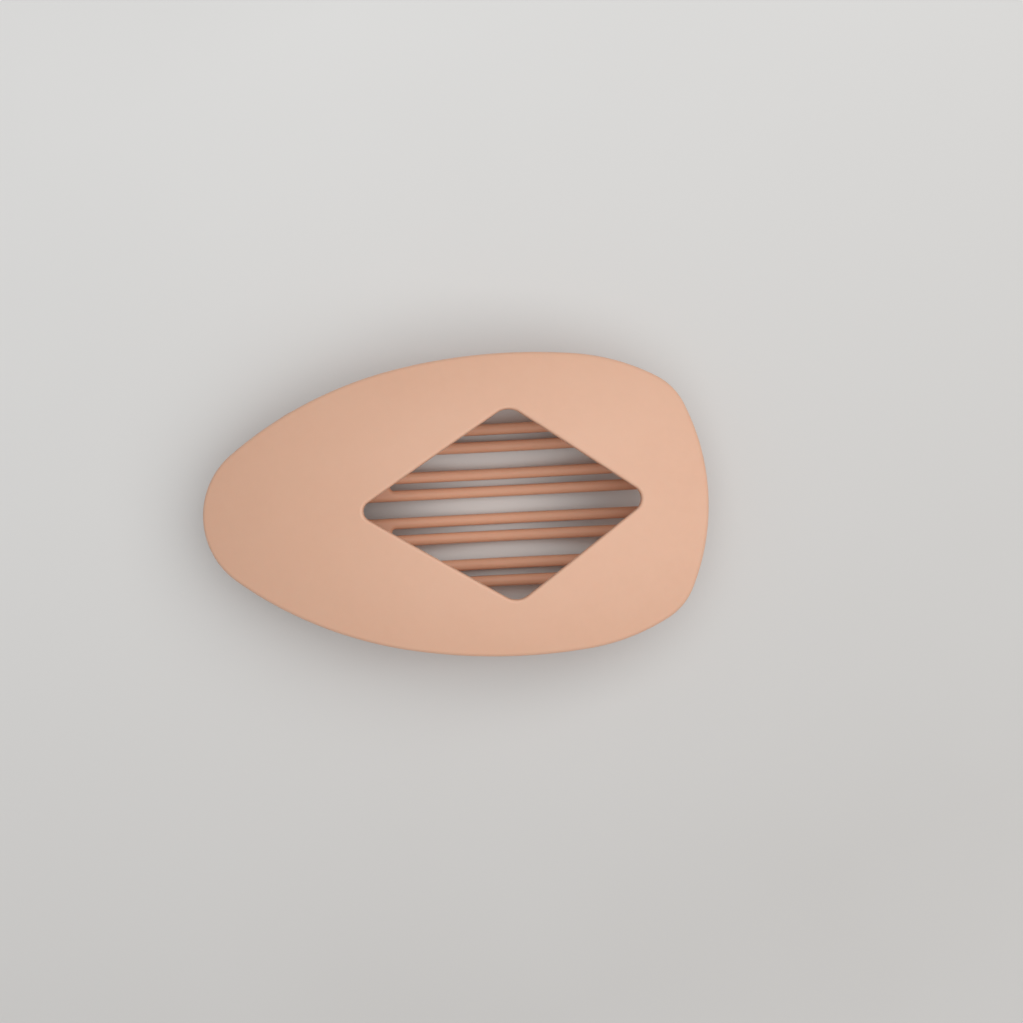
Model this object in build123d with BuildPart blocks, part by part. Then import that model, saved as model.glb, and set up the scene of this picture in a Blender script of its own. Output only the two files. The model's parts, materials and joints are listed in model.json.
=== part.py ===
from build123d import *
import os
from math import cos, pi, radians, sin

# Flat spring hair claw, closed, in millimetres: an egg-shaped upper shell with a diamond window, hinged near
# its narrow tail to a lower jaw of long paired fingers. A torsion spring round the hinge pin pushes the two
# tails apart and so holds the mouth shut. +X points to the mouth, +Y across, +Z up, and the origin is at the
# bottom centre of the closed claw's box.

# ---- driving dimensions ----
HALF_LENGTH = 61.5
CROWN_Z = 31.0

# the egg outline: tangent arcs from the mouth's middle round to the tail's middle, as (radius, degrees)
EGG_ARCS = ((56.2, 23.5), (14.4, 37.3), (51.5, 23.3), (146.0, 16.6), (104.54, 25.6))

# upper shell: a plate arched along X and turned about a line along X, so that it is bowed across as well
SHELL_THICKNESS = 2.6
ARCH_RADIUS = 165.0
ARCH_SPAN = 52.0
CROWN_X = 6.7
CROSS_RADIUS = 95.0
SHELL_AXIS = Axis((0, 0, CROWN_Z - CROSS_RADIUS), (1, 0, 0))
SHELL_TOP_ROUND = 1.2
SHELL_UNDER_ROUND = 0.9
WINDOW_TOP_ROUND = 0.6
WINDOW_UNDER_ROUND = 0.5
ROOT_DEPTH = 1.3

# the window's sharp corners, and how much each is rounded
WINDOW_TAIL_X = -23.0
WINDOW_APEX_X = 14.4
WINDOW_MOUTH_X = 47.1
WINDOW_HALF_HEIGHT = 23.4
WINDOW_TAIL_ROUND = 2.4
WINDOW_APEX_ROUND = 4.5
WINDOW_MOUTH_ROUND = 3.2

# lower jaw: a plate that drops to the tail, dips to its belly and turns up at the finger tips. It is turned
# about a line high above it, so that it is dished across.
JAW_THICKNESS = 2.9
JAW_CROSS_RADIUS = 160.0
JAW_INSET = 1.2
CREST_X = -32.0
TAIL_RADIUS = 65.0
TAIL_ANGLE = 27.6
CREST_RADIUS = 60.0
BELLY_RADIUS = 94.0
DIP_ANGLE = 16.0
RISE_RADIUS = 110.0
RISE_ANGLE = 14.6
TIP_RADIUS = 42.0
TIP_ANGLE = 30.0
CREST_Z = JAW_THICKNESS / 2 + (CREST_RADIUS + BELLY_RADIUS) * (1 - cos(radians(DIP_ANGLE)))
JAW_TOP_ROUND = 1.2
JAW_UNDER_ROUND = 0.75

# the thumb plate's side stands a little proud of the shell
THUMB_PLAN = ((-25.3, 29.0), (-38.8, 26.2), (-49.8, 19.0), (-60.3, 0))

# fingers: each is a pair of bars round one narrow slot, with a wide gap between fingers
FINGER_PITCH = 11.4
FINGER_WIDTH = 7.2
GAP_WIDTH = FINGER_PITCH - FINGER_WIDTH
GAP_ROOT_X = -23.6
SLOT_WIDTH = 1.6
SLOT_ROOTS_X = (-16.4, -16.4, -8.0)
SLOT_ENDS_X = (48.0, 45.8, 36.5)
TIP_CIRCLE_X = 1.6
TIP_CIRCLE_RADIUS = 50.6
TIP_ROUND = 2.8

# upper teeth hang from the front of the shell into the wide gaps: (y, how far back from the front)
TEETH = ((0, 0), (FINGER_PITCH, 0.8), (2 * FINGER_PITCH, 5.6))
TOOTH_WIDTH = 2.4
TOOTH_ROUND = 0.7

# hinge
HINGE_X = -30.0
HINGE_Z = 16.5
PIN_RADIUS = 1.5
PIN_PROUD = 0.5
PIN_CHAMFER = 0.4
RUNNING_CLEARANCE = 0.08
EAR_THICKNESS = 3.0
EAR_RADIUS = 4.2
EAR_ROUND = 0.5
LOWER_EAR_Y = 8.9
UPPER_EAR_Y = LOWER_EAR_Y + EAR_THICKNESS + 0.3
EAR_LEFT = HINGE_X - EAR_RADIUS
EAR_RIGHT = HINGE_X + EAR_RADIUS

# what widens each ear from its round end into its plate; the upper ear also has a heel that stops the mouth
UPPER_EAR = (
    ((HINGE_X - 9.0, CROWN_Z), (EAR_LEFT, HINGE_Z), (EAR_RIGHT, HINGE_Z), (HINGE_X + 6.0, CROWN_Z)),
    ((EAR_LEFT + 2.0, HINGE_Z), (HINGE_X - 1.4, 9.7), (HINGE_X + 2.1, 9.7), (EAR_RIGHT, HINGE_Z)),
)
LOWER_EAR = (((EAR_LEFT, HINGE_Z), (HINGE_X - 7.8, 7.2), (HINGE_X + 2.1, 7.2), (EAR_RIGHT, HINGE_Z)),)

# torsion spring: its angles are turned from straight up, towards the mouth
WIRE_RADIUS = 0.7
COIL_RADIUS = 3.3
COIL_HALF_WIDTH = 6.2
WHOLE_TURNS = 7
UPPER_LEG_ANGLE = -6.7
LOWER_LEG_ANGLE = 164.0
LEG_LENGTH = 17.0
TURNS = WHOLE_TURNS + (LOWER_LEG_ANGLE - UPPER_LEG_ANGLE) / 360
COIL_PITCH = 2 * COIL_HALF_WIDTH / TURNS

# low ribs on both tails keep the spring's legs in place; z is the middle of each rib
RIB_X = -46.0
RIB_LENGTH = 6.0
RIB_WIDTH = 1.2
RIB_HEIGHT = 3.4
RIB_ROUND = 0.4
LEG_Y = 7.4
RIB_OFFSET = WIRE_RADIUS + 0.5 + RIB_WIDTH / 2
UPPER_RIB_Z = 19.9
LOWER_RIB_Z = 7.1


def arc_chain(start, heading, arcs, shift=0.0):
    """Tangent arcs end to end, moved sideways (left of the heading) by shift; returns the last end."""
    left = Vector(-heading[1], heading[0])
    start = Vector(*start) + left * shift
    for radius, angle in arcs:
        side = shift if angle > 0 else -shift
        arc = JernArc(start, heading, radius - side, angle)
        start, heading = arc @ 1, arc % 1
    return start, heading


def egg_outline():
    """The egg seen from above."""
    with BuildSketch() as egg:
        with BuildLine():
            end, heading = arc_chain((HALF_LENGTH, 0), (0, 1), EGG_ARCS)
            TangentArc(end, (-HALF_LENGTH, 0), tangent=heading)
            mirror(about=Plane.XZ)
        make_face()
    return egg.sketch


EGG = egg_outline()


def turned(axis, half_angle, section):
    """A solid made by turning a section in the XZ plane to both sides of it about an axis."""
    with BuildPart() as solid:
        add(section)
        revolve(axis=axis, revolution_arc=2 * half_angle)
    return solid.part.rotate(axis, -half_angle)


def arch_section(outer_depth, inner_depth=None):
    """The part of the XZ plane between two depths under the shell's surface, or all that is under it."""
    centre = (CROWN_X, CROWN_Z - ARCH_RADIUS)
    first_angle = 90 - ARCH_SPAN / 2
    with BuildSketch(Plane.XZ) as section:
        with BuildLine():
            outer = CenterArc(centre, ARCH_RADIUS - outer_depth, first_angle, ARCH_SPAN)
            if inner_depth is None:
                Polyline(outer @ 0, ((outer @ 0).X, -5), ((outer @ 1).X, -5), outer @ 1)
            else:
                inner = CenterArc(centre, ARCH_RADIUS - inner_depth, first_angle, ARCH_SPAN)
                Line(outer @ 0, inner @ 0)
                Line(outer @ 1, inner @ 1)
        make_face()
    return section.sketch


def rims(plate, side):
    """The edges where a plate's upright walls meet its upper (1) or its under (-1) surface."""
    walls = plate.faces().filter_by(lambda face: abs(face.normal_at(face.center()).Z) < 0.01)
    bowed = plate.faces().filter_by(lambda face: face.normal_at(face.center()).Z * side > 0.3)
    bowed_edges = bowed.edges()
    return [edge for edge in walls.edges() if edge in bowed_edges]


def mirrored(solid):
    """A solid and its mirror image across the middle."""
    return [solid, solid.mirror(Plane.XZ)]


# ---- upper shell ----
def window():
    """The diamond window seen from above."""
    with BuildSketch() as diamond:
        Polygon(
            (WINDOW_TAIL_X, 0),
            (WINDOW_APEX_X, WINDOW_HALF_HEIGHT),
            (WINDOW_MOUTH_X, 0),
            (WINDOW_APEX_X, -WINDOW_HALF_HEIGHT),
            align=None,
        )
        fillet(diamond.vertices().sort_by(Axis.X)[0], WINDOW_TAIL_ROUND)
        fillet(diamond.vertices().sort_by(Axis.X)[-1], WINDOW_MOUTH_ROUND)
        across = diamond.vertices().sort_by(Axis.Y)
        fillet([across[0], across[-1]], WINDOW_APEX_ROUND)
    return diamond.sketch


def round_window(edge):
    """Whether an edge lies round the window."""
    middle = edge.center()
    return abs(middle.Y) < WINDOW_HALF_HEIGHT and WINDOW_TAIL_X < middle.X < WINDOW_MOUTH_X


def under_shell():
    """All the room under the shell, up to inside its thickness: what hangs from the shell is cut to it."""
    return turned(SHELL_AXIS, 30, arch_section(ROOT_DEPTH))


UNDER_SHELL = under_shell()


def tooth(y, front):
    """One crescent tooth, its root up in the shell near the front's x and its tip low behind the mouth."""
    with BuildPart() as part:
        with BuildSketch(Plane.XZ.offset(-y)):
            with BuildLine():
                outer = ThreePointArc((front - 2.5, 25), (front - 4.0, 13.5), (front - 10.8, 4.4))
                inner = ThreePointArc((front - 8.8, 25), (front - 9.1, 14.0), (front - 12.9, 5.6))
                Line(outer @ 0, inner @ 0)
                Line(outer @ 1, inner @ 1)
            make_face()
            fillet(vertices().group_by(Axis.Y)[0] + vertices().group_by(Axis.Y)[1], 0.9)
        extrude(amount=TOOTH_WIDTH / 2, both=True)
        rims = part.faces().filter_by(Axis.Y).edges()
        fillet([edge for edge in rims if edge.center().Z < 24], TOOTH_ROUND)
        add(UNDER_SHELL, mode=Mode.INTERSECT)
    return part.part


def ear(inner_y, sides, hole_radius):
    """One ear at +Y: a flat plate round the pin, widened by polygons and cut to the shell's inside."""
    with BuildPart() as part:
        with BuildSketch(Plane.XZ.offset(-inner_y)):
            with Locations((HINGE_X, HINGE_Z)):
                Circle(EAR_RADIUS)
            for corners in sides:
                Polygon(*corners, align=None)
        extrude(amount=-EAR_THICKNESS)
        rim = part.faces().filter_by(Axis.Y).edges()
        fillet(rim, EAR_ROUND)
        with Locations(Plane((HINGE_X, inner_y, HINGE_Z), z_dir=(0, 1, 0))):
            Hole(hole_radius, depth=2 * EAR_THICKNESS)
        add(UNDER_SHELL, mode=Mode.INTERSECT)
    return part.part


def rib(y, z):
    """One low rib beside a spring leg: z is its free end, and it roots in the plate above or below."""
    with BuildPart() as part:
        with Locations((RIB_X, y, z)):
            Box(RIB_LENGTH, RIB_WIDTH, RIB_HEIGHT)
        fillet(part.edges(), RIB_ROUND)
        add(UNDER_SHELL, mode=Mode.INTERSECT)
    return part.part


with BuildPart() as upper_shell:
    add(turned(SHELL_AXIS, 30, arch_section(0, SHELL_THICKNESS)))
    with BuildSketch():
        add(EGG)
        add(window(), mode=Mode.SUBTRACT)
    extrude(amount=CROWN_Z, mode=Mode.INTERSECT)
    for side, outline_round, window_round in (
        (1, SHELL_TOP_ROUND, WINDOW_TOP_ROUND),
        (-1, SHELL_UNDER_ROUND, WINDOW_UNDER_ROUND),
    ):
        fillet([edge for edge in rims(upper_shell, side) if not round_window(edge)], outline_round)
        fillet([edge for edge in rims(upper_shell, side) if round_window(edge)], window_round)
    upper_ear = ear(UPPER_EAR_Y, UPPER_EAR, PIN_RADIUS)
    add(mirrored(upper_ear))
    for y, back in TEETH:
        one_tooth = tooth(y, HALF_LENGTH - back)
        add(mirrored(one_tooth) if y else one_tooth)
    for offset_y in (-RIB_OFFSET, RIB_OFFSET):
        add(rib(-LEG_Y + offset_y, UPPER_RIB_Z))


# ---- lower jaw ----
def finger_slots():
    """The narrow slots between paired bars, and the wide gaps between fingers, seen from above."""
    with BuildSketch() as slots:
        for number, (root, end) in enumerate(zip(SLOT_ROOTS_X, SLOT_ENDS_X)):
            y = (number + 0.5) * FINGER_PITCH
            with Locations(((root + end) / 2, y), ((root + end) / 2, -y)):
                SlotOverall(end - root, SLOT_WIDTH)
        for number in range(-2, 3):
            with Locations(((GAP_ROOT_X + 70) / 2, number * FINGER_PITCH)):
                SlotOverall(70 - GAP_ROOT_X, GAP_WIDTH)
    return slots.sketch


def tip_limit():
    """What the fingers may reach: a circle under the mouth, and everything towards the tail."""
    with BuildSketch() as limit:
        with Locations((TIP_CIRCLE_X, 0)):
            Circle(TIP_CIRCLE_RADIUS)
            Rectangle(100, 100, align=(Align.MAX, Align.CENTER))
    return limit.sketch


def jaw_plan():
    """The lower jaw seen from above: the egg drawn in a little, a thumb plate and rounded fingers."""
    with BuildSketch() as plan:
        with BuildLine():
            end, heading = arc_chain((HALF_LENGTH, 0), (0, 1), EGG_ARCS[:4], JAW_INSET)
            Spline(end, *THUMB_PLAN, tangents=(heading, (0, -1)))
            mirror(about=Plane.XZ)
        make_face()
        add(tip_limit(), mode=Mode.INTERSECT)
        add(finger_slots(), mode=Mode.SUBTRACT)
        centre = Vector(TIP_CIRCLE_X, 0)
        corners = [v for v in plan.vertices() if abs((Vector(v) - centre).length - TIP_CIRCLE_RADIUS) < 0.01]
        fillet(corners, TIP_ROUND)
    return plan.sketch


def jaw_section():
    """The plate's section in the XZ plane, from the tail to the finger tips."""
    tail = (
        CREST_X - TAIL_RADIUS * sin(radians(TAIL_ANGLE)),
        CREST_Z - TAIL_RADIUS * (1 - cos(radians(TAIL_ANGLE))),
    )
    heading = (cos(radians(TAIL_ANGLE)), sin(radians(TAIL_ANGLE)))
    arcs = (
        (TAIL_RADIUS, -TAIL_ANGLE),
        (CREST_RADIUS, -DIP_ANGLE),
        (BELLY_RADIUS, DIP_ANGLE),
        (RISE_RADIUS, RISE_ANGLE),
        (TIP_RADIUS, TIP_ANGLE),
    )
    with BuildSketch(Plane.XZ) as section:
        with BuildLine():
            ends = []
            for shift in (-JAW_THICKNESS / 2, JAW_THICKNESS / 2):
                normal = Vector(-heading[1], heading[0]) * shift
                ends.append((Vector(*tail) + normal, arc_chain(tail, heading, arcs, shift)[0]))
            Line(ends[0][0], ends[1][0])
            Line(ends[0][1], ends[1][1])
        make_face()
    return section.sketch


with BuildPart() as lower_jaw:
    add(turned(Axis((0, 0, JAW_CROSS_RADIUS), (1, 0, 0)), 14, jaw_section()))
    with BuildSketch():
        add(jaw_plan())
    extrude(amount=CROWN_Z, mode=Mode.INTERSECT)
    fillet(rims(lower_jaw, -1), JAW_UNDER_ROUND)
    fillet(rims(lower_jaw, 1), JAW_TOP_ROUND)
    lower_ear = ear(LOWER_EAR_Y, LOWER_EAR, PIN_RADIUS + RUNNING_CLEARANCE)
    add(mirrored(lower_ear))
    for offset_y in (-RIB_OFFSET, RIB_OFFSET):
        add(rib(LEG_Y + offset_y, LOWER_RIB_Z))


# ---- hinge pin ----
with BuildPart() as hinge_pin:
    pin_length = 2 * (UPPER_EAR_Y + EAR_THICKNESS + PIN_PROUD)
    with Locations(Plane((HINGE_X, 0, HINGE_Z), z_dir=(0, 1, 0))):
        Cylinder(PIN_RADIUS, pin_length)
    fillet(hinge_pin.edges().filter_by(GeomType.CIRCLE), PIN_CHAMFER)


# ---- torsion spring ----
def on_coil(angle, y):
    """The coil's centre line at an angle from straight up towards the mouth: the point, and its heading."""
    turn = radians(angle)
    point = Vector(HINGE_X + COIL_RADIUS * sin(turn), y, HINGE_Z + COIL_RADIUS * cos(turn))
    heading = Vector(COIL_RADIUS * cos(turn), COIL_PITCH / (2 * pi), -COIL_RADIUS * sin(turn))
    return point, heading.normalized()


with BuildPart() as torsion_spring:
    upper_end, upper_heading = on_coil(UPPER_LEG_ANGLE, -COIL_HALF_WIDTH)
    lower_end, lower_heading = on_coil(LOWER_LEG_ANGLE, COIL_HALF_WIDTH)
    start = upper_end - Vector(HINGE_X, -COIL_HALF_WIDTH, HINGE_Z)
    coil_plane = Plane((HINGE_X, -COIL_HALF_WIDTH, HINGE_Z), x_dir=start, z_dir=(0, 1, 0))
    coil = coil_plane.location * Edge.make_helix(COIL_PITCH, 2 * COIL_HALF_WIDTH, COIL_RADIUS)
    with BuildSketch(Plane(upper_end, z_dir=upper_heading)):
        Circle(WIRE_RADIUS)
    sweep(path=coil, is_frenet=True)
    for end, heading in ((upper_end, -upper_heading), (lower_end, lower_heading)):
        with BuildSketch(Plane(end, z_dir=heading)):
            Circle(WIRE_RADIUS)
        extrude(amount=LEG_LENGTH)


PARTS = {
    "upper_shell": upper_shell,
    "lower_jaw": lower_jaw,
    "hinge_pin": hinge_pin,
    "torsion_spring": torsion_spring,
}
os.makedirs("parts", exist_ok=True)
for name, built in PARTS.items():
    built.part.label = name
    export_step(built.part, f"parts/{name}.step")
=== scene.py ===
"""Looks for the flat hair claw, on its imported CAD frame: materials, spring wire, light and camera."""

import json
import math

import bpy
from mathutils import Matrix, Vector


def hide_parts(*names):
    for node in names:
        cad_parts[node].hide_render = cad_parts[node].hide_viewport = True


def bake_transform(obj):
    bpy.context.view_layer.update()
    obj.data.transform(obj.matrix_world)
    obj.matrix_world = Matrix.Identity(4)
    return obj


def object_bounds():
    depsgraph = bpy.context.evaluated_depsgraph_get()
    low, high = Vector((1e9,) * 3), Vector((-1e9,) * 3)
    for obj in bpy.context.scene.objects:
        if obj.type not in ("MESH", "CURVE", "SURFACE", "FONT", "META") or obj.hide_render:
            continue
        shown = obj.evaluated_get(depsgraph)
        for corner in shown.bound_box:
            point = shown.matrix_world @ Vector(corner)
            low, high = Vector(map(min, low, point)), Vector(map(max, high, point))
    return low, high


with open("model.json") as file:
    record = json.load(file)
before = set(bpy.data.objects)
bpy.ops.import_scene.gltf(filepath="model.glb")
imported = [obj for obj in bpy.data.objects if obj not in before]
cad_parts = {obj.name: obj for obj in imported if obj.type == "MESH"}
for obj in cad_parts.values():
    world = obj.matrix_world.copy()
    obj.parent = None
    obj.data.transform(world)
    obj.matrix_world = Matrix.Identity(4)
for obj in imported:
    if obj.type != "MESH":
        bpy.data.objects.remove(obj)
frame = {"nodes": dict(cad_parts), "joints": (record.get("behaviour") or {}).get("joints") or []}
cad_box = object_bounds()

MM = 0.001

# the hinge pin's middle, in metres
HINGE = Vector(frame["joints"][0]["pos_m"])


# ---- small helpers for shader nodes ----
def new_material(name):
    """A material with only a Principled shader; returns it with its nodes, links and shader."""
    material = bpy.data.materials.new(name)
    material.use_nodes = True
    nodes, links = material.node_tree.nodes, material.node_tree.links
    nodes.clear()
    shader = nodes.new("ShaderNodeBsdfPrincipled")
    output = nodes.new("ShaderNodeOutputMaterial")
    links.new(shader.outputs["BSDF"], output.inputs["Surface"])
    return material, nodes, links, shader


def noise(nodes, links, vector, scale, detail=2.0, roughness=0.5, distortion=0.0):
    """A noise texture's 0 to 1 output, read at a vector socket."""
    texture = nodes.new("ShaderNodeTexNoise")
    texture.inputs["Scale"].default_value = scale
    texture.inputs["Detail"].default_value = detail
    texture.inputs["Roughness"].default_value = roughness
    texture.inputs["Distortion"].default_value = distortion
    links.new(vector, texture.inputs["Vector"])
    return texture.outputs["Fac"]


def remap(nodes, links, value, span, new_low, new_high):
    """A value carried from a span, as (low, high), to another, held inside it."""
    node = nodes.new("ShaderNodeMapRange")
    node.inputs["From Min"].default_value = span[0]
    node.inputs["From Max"].default_value = span[1]
    node.inputs["To Min"].default_value = new_low
    node.inputs["To Max"].default_value = new_high
    links.new(value, node.inputs["Value"])
    return node.outputs["Result"]


def mix_colour(nodes, links, factor, first, second):
    """A blend of two colours, each given as a socket or as numbers."""
    node = nodes.new("ShaderNodeMix")
    node.data_type = "RGBA"
    links.new(factor, node.inputs["Factor"])
    for name, value in (("A", first), ("B", second)):
        socket = [s for s in node.inputs if s.name == name and s.type == "RGBA"][0]
        if isinstance(value, bpy.types.NodeSocket):
            links.new(value, socket)
        else:
            socket.default_value = (*value, 1.0)
    return [s for s in node.outputs if s.type == "RGBA"][0]


def bump(nodes, links, height, distance, strength, normal=None):
    """A bump node's normal; distance is how many metres a height of 1 stands for."""
    node = nodes.new("ShaderNodeBump")
    node.inputs["Distance"].default_value = distance
    node.inputs["Strength"].default_value = strength
    links.new(height, node.inputs["Height"])
    if normal is not None:
        links.new(normal, node.inputs["Normal"])
    return node.outputs["Normal"]


def object_coordinates(nodes):
    return nodes.new("ShaderNodeTexCoord").outputs["Object"]


# ---- materials ----
# where most of a noise texture's values lie
NOISE_SPAN = (0.3, 0.7)

# the plastic's noises, in cycles per metre: colour flow, mottle, rubbed patches, satin grain and sink marks
FLOW_SCALE = 28.0
MOTTLE_SCALE = 420.0
RUB_SCALE = 90.0
GRAIN_SCALE = 5200.0
SINK_SCALE = 60.0
GRAIN_HEIGHT = 0.012 * MM
SINK_HEIGHT = 0.25 * MM
SCATTER_DEPTH = 2.5 * MM
MOTTLE_GAIN = 1.025
MOTTLE_SHARE = 0.35

# the steel's noises: drawn lines and slightly darker patches
LINE_SCALE = 900.0
LINE_HEIGHT = 0.002 * MM
PATCH_SCALE = 260.0
PATCH_GAIN = 0.93


def peach_plastic(name, colour, flow_colour, roughness):
    """Matte moulded plastic: slow colour flow, a satin grain, and a faint unevenness from cooling."""
    material, nodes, links, shader = new_material(name)
    place = object_coordinates(nodes)
    flow = noise(nodes, links, place, FLOW_SCALE, 3.0, 0.55, 0.6)
    slow = mix_colour(nodes, links, remap(nodes, links, flow, NOISE_SPAN, 0.0, 1.0), colour, flow_colour)
    mottle = remap(nodes, links, noise(nodes, links, place, MOTTLE_SCALE), NOISE_SPAN, 0.0, MOTTLE_SHARE)
    lighter = tuple(min(1.0, channel * MOTTLE_GAIN) for channel in colour)
    links.new(mix_colour(nodes, links, mottle, slow, lighter), shader.inputs["Base Color"])
    rub = noise(nodes, links, place, RUB_SCALE, 4.0, 0.6)
    uneven = remap(nodes, links, rub, NOISE_SPAN, roughness - 0.05, roughness + 0.06)
    links.new(uneven, shader.inputs["Roughness"])
    shader.inputs["IOR"].default_value = 1.47
    shader.inputs["Subsurface Weight"].default_value = 0.12
    shader.inputs["Subsurface Radius"].default_value = (1.0, 0.45, 0.3)
    shader.inputs["Subsurface Scale"].default_value = SCATTER_DEPTH
    satin = bump(nodes, links, noise(nodes, links, place, GRAIN_SCALE, 1.0), GRAIN_HEIGHT, 0.6)
    sink = bump(nodes, links, noise(nodes, links, place, SINK_SCALE, 1.0), SINK_HEIGHT, 0.35, satin)
    links.new(sink, shader.inputs["Normal"])
    return material


def steel(name, colour, roughness, stretch):
    """Drawn steel: fine lines, longer where stretch is under 1, and a slightly uneven polish."""
    material, nodes, links, shader = new_material(name)
    place = object_coordinates(nodes)
    mapping = nodes.new("ShaderNodeMapping")
    mapping.inputs["Scale"].default_value = stretch
    links.new(place, mapping.inputs["Vector"])
    lines = noise(nodes, links, mapping.outputs["Vector"], LINE_SCALE, 3.0, 0.6)
    patches = noise(nodes, links, place, PATCH_SCALE, 3.0, 0.6)
    darker = tuple(channel * PATCH_GAIN for channel in colour)
    links.new(mix_colour(nodes, links, patches, colour, darker), shader.inputs["Base Color"])
    uneven = remap(nodes, links, lines, NOISE_SPAN, roughness - 0.03, roughness + 0.05)
    links.new(uneven, shader.inputs["Roughness"])
    shader.inputs["Metallic"].default_value = 1.0
    links.new(bump(nodes, links, lines, LINE_HEIGHT, 0.3), shader.inputs["Normal"])
    return material


def dress(node, material):
    """Gives a carried-over CAD node its material."""
    materials = frame["nodes"][node].data.materials
    materials.clear()
    materials.append(material)


SHELL_COLOUR = (0.735, 0.442, 0.308)
SHELL_FLOW_COLOUR = (0.72, 0.424, 0.292)
# the jaw is the same peach plastic as the shell; its colours are painted darker and more orange, as painted
# shade and painted bounce light where the fingers lie under the shell
JAW_SHADED_COLOUR = (0.70, 0.375, 0.24)
JAW_SHADED_FLOW_COLOUR = (0.685, 0.36, 0.228)
PIN_COLOUR = (0.66, 0.65, 0.63)
SPRING_COLOUR = (0.70, 0.70, 0.71)

dress("upper_shell", peach_plastic("shell_plastic", SHELL_COLOUR, SHELL_FLOW_COLOUR, 0.43))
# the lower jaw gets the shell's plastic with painted shade and painted bounce light in its colour
dress("lower_jaw", peach_plastic("jaw_plastic", JAW_SHADED_COLOUR, JAW_SHADED_FLOW_COLOUR, 0.45))
dress("hinge_pin", steel("pin_steel", PIN_COLOUR, 0.32, (1.0, 0.08, 1.0)))


# ---- spring: a swept wire coiled round the hinge pin ----
WIRE_RADIUS = 0.7 * MM
COIL_RADIUS = 3.3 * MM
COIL_HALF_WIDTH = 6.2 * MM
WHOLE_TURNS = 7
UPPER_LEG_ANGLE = math.radians(-6.7)
LOWER_LEG_ANGLE = math.radians(164.0)
LEG_LENGTH = 17.0 * MM
STEPS_PER_TURN = 40
WIRE_SIDES = 14
LEG_STEPS = 12
TIP_ROUND = 0.2 * MM
TIP_TURNS = (0, math.pi / 4, math.pi / 2)


def spring_line():
    """The wire's centre line from the end of the upper leg, round the coil, to the end of the lower leg."""
    sweep = LOWER_LEG_ANGLE - UPPER_LEG_ANGLE + WHOLE_TURNS * 2 * math.pi
    steps = round(STEPS_PER_TURN * sweep / (2 * math.pi))
    coil = []
    for step in range(steps + 1):
        part = step / steps
        angle = UPPER_LEG_ANGLE + sweep * part
        y = -COIL_HALF_WIDTH + 2 * COIL_HALF_WIDTH * part
        coil.append(HINGE + Vector((COIL_RADIUS * math.sin(angle), y, COIL_RADIUS * math.cos(angle))))
    rise = 2 * COIL_HALF_WIDTH / sweep
    legs = []
    for angle, end in ((UPPER_LEG_ANGLE, coil[0]), (LOWER_LEG_ANGLE, coil[-1])):
        heading = Vector((COIL_RADIUS * math.cos(angle), rise, -COIL_RADIUS * math.sin(angle))).normalized()
        away = -heading if end is coil[0] else heading
        legs.append([end + away * LEG_LENGTH * step / LEG_STEPS for step in range(1, LEG_STEPS + 1)])
    return legs[0][::-1] + coil + legs[1]


def rounded_end(ring, inwards):
    """The rings that round off a tube's end, from its full radius to its tip; inwards is 1 or -1."""
    point, way, side, radius = ring
    rings = []
    for turn in TIP_TURNS:
        place = point + way * inwards * TIP_ROUND * (1 - math.sin(turn))
        rings.append((place, way, side, radius - TIP_ROUND * (1 - math.cos(turn))))
    return rings


def tube_mesh(name, line, radius, sides):
    """A round tube along a line of points, with rounded ends and no twist."""
    side = (line[1] - line[0]).normalized().orthogonal().normalized()
    rings = []
    for index, point in enumerate(line):
        before = line[max(index - 1, 0)]
        after = line[min(index + 1, len(line) - 1)]
        way = (after - before).normalized()
        side = (side - way * side.dot(way)).normalized()
        rings.append((point, way, side, radius))
    rings = rounded_end(rings[0], 1)[::-1] + rings[1:-1] + rounded_end(rings[-1], -1)
    vertices = []
    for point, way, side, ring_radius in rings:
        up = way.cross(side)
        for step in range(sides):
            turn = 2 * math.pi * step / sides
            vertices.append(point + (side * math.cos(turn) + up * math.sin(turn)) * ring_radius)
    faces = []
    for ring in range(len(rings) - 1):
        low, high = ring * sides, (ring + 1) * sides
        for step in range(sides):
            following = (step + 1) % sides
            faces.append((low + step, low + following, high + following, high + step))
    faces.append(tuple(reversed(range(sides))))
    last = (len(rings) - 1) * sides
    faces.append(tuple(range(last, last + sides)))
    mesh = bpy.data.meshes.new(name)
    mesh.from_pydata(vertices, [], faces)
    mesh.validate()
    mesh.shade_smooth()
    return mesh


spring = bpy.data.objects.new("spring_wire", tube_mesh("spring_wire", spring_line(), WIRE_RADIUS, WIRE_SIDES))
bpy.context.scene.collection.objects.link(spring)
spring.data.materials.append(steel("spring_steel", SPRING_COLOUR, 0.30, (1.0, 1.0, 1.0)))
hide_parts("torsion_spring")
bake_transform(spring)


# ---- floor, light and camera ----
# painted light: the floor's colour is painted paler away from the viewer and a little towards the claw's
# tail, and darker near the viewer
FLOOR_PAINTED_LIGHT_WAY = (-0.45, 1.0, 0.0)
FLOOR_PAINTED_LIGHT_REACH = 0.14
FLOOR_NEAR_SHADED_COLOUR = (0.55, 0.538, 0.525)
FLOOR_FAR_LIT_COLOUR = (0.735, 0.735, 0.728)
FLOOR_CLOUD_COLOUR = (0.64, 0.638, 0.63)
FLOOR_CLOUD_SCALE = 9.0
FLOOR_CLOUD_SHARE = 0.25
FLOOR_SIZE = 4.0


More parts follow.
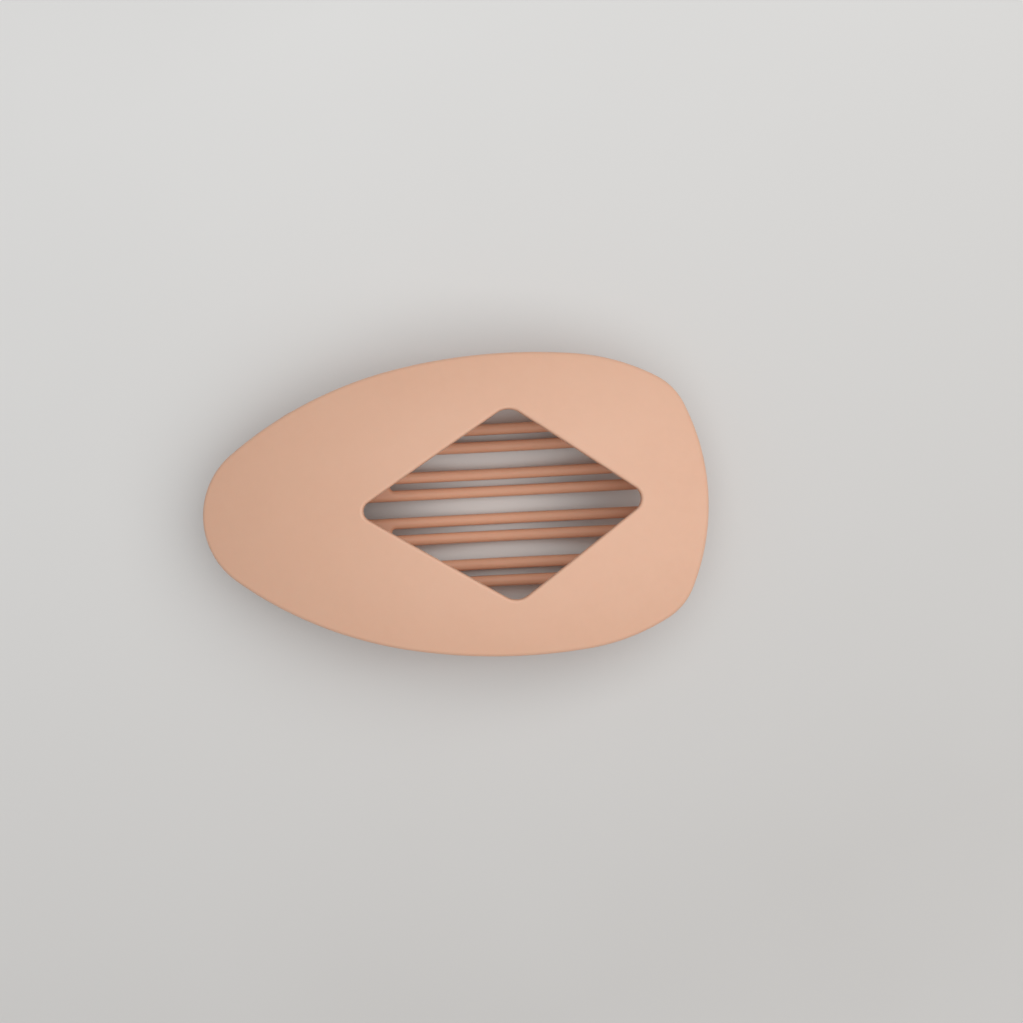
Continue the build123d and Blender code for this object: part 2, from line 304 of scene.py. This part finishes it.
def floor_material():
    """Pale painted board with painted light: a little lighter and cooler far from the viewer, darker near it,
    with a very slight cloudiness.
    """
    material, nodes, links, shader = new_material("floor_paint_with_painted_light")
    place = object_coordinates(nodes)
    along = nodes.new("ShaderNodeVectorMath")
    along.operation = "DOT_PRODUCT"
    along.inputs[1].default_value = FLOOR_PAINTED_LIGHT_WAY
    links.new(place, along.inputs[0])
    far = remap(nodes, links, along.outputs["Value"], (-FLOOR_PAINTED_LIGHT_REACH, FLOOR_PAINTED_LIGHT_REACH), 0.0, 1.0)
    # painted light and shade: the board's colour runs from a shaded colour near the viewer to a lit colour
    # far from it
    painted_light_wash = mix_colour(nodes, links, far, FLOOR_NEAR_SHADED_COLOUR, FLOOR_FAR_LIT_COLOUR)
    cloud = noise(nodes, links, place, FLOOR_CLOUD_SCALE, 3.0)
    share = remap(nodes, links, cloud, NOISE_SPAN, 0.0, FLOOR_CLOUD_SHARE)
    links.new(mix_colour(nodes, links, share, painted_light_wash, FLOOR_CLOUD_COLOUR), shader.inputs["Base Color"])
    shader.inputs["Roughness"].default_value = 0.6
    return material


bpy.ops.mesh.primitive_plane_add(size=FLOOR_SIZE, location=(0, 0, cad_box[0][2]))
floor = bpy.context.object
floor.name = "floor"
floor.data.materials.append(floor_material())


def area_light(name, place, aim, size, power, colour):
    """A square soft light that looks at a point."""
    data = bpy.data.lights.new(name, "AREA")
    data.shape = "SQUARE"
    data.size = size
    data.energy = power
    data.color = colour
    light = bpy.data.objects.new(name, data)
    light.location = place
    light.rotation_euler = (Vector(aim) - Vector(place)).to_track_quat("-Z", "Y").to_euler()
    bpy.context.scene.collection.objects.link(light)


area_light("overhead", (0.34, 0.04, 1.10), (0, 0, 0), 2.0, 19.6, (1.0, 0.99, 0.975))

world = bpy.data.worlds.new("studio")
bpy.context.scene.world = world
world.use_nodes = True
world.node_tree.nodes["Background"].inputs["Color"].default_value = (0.97, 0.98, 1.0, 1.0)
world.node_tree.nodes["Background"].inputs["Strength"].default_value = 0.26
bpy.context.scene.view_settings.view_transform = "Standard"

# straight down from a little beyond the claw's middle, framing 243 mm at the shell's height with a lens
# shift; the claw is turned a little anticlockwise
CAMERA_HEIGHT = 0.300
FRAMED_WIDTH = 0.2427
FRAMED_Z = 0.025
AIM = Vector((0.0141, -0.0017, 0.0))
CAMERA_OFFSET_Y = 0.0025
CLAW_TURN = math.radians(2.9)

camera_data = bpy.data.cameras.new("camera")
camera_data.sensor_width = 36.0
camera_data.lens = camera_data.sensor_width * CAMERA_HEIGHT / FRAMED_WIDTH
camera_data.clip_start = 0.01
camera = bpy.data.objects.new("camera", camera_data)
camera_data.shift_y = -CAMERA_OFFSET_Y / FRAMED_WIDTH
camera.location = AIM + Vector((0, CAMERA_OFFSET_Y, FRAMED_Z + CAMERA_HEIGHT))
camera.rotation_euler = (0, 0, -CLAW_TURN)
bpy.context.scene.collection.objects.link(camera)
bpy.context.scene.camera = camera
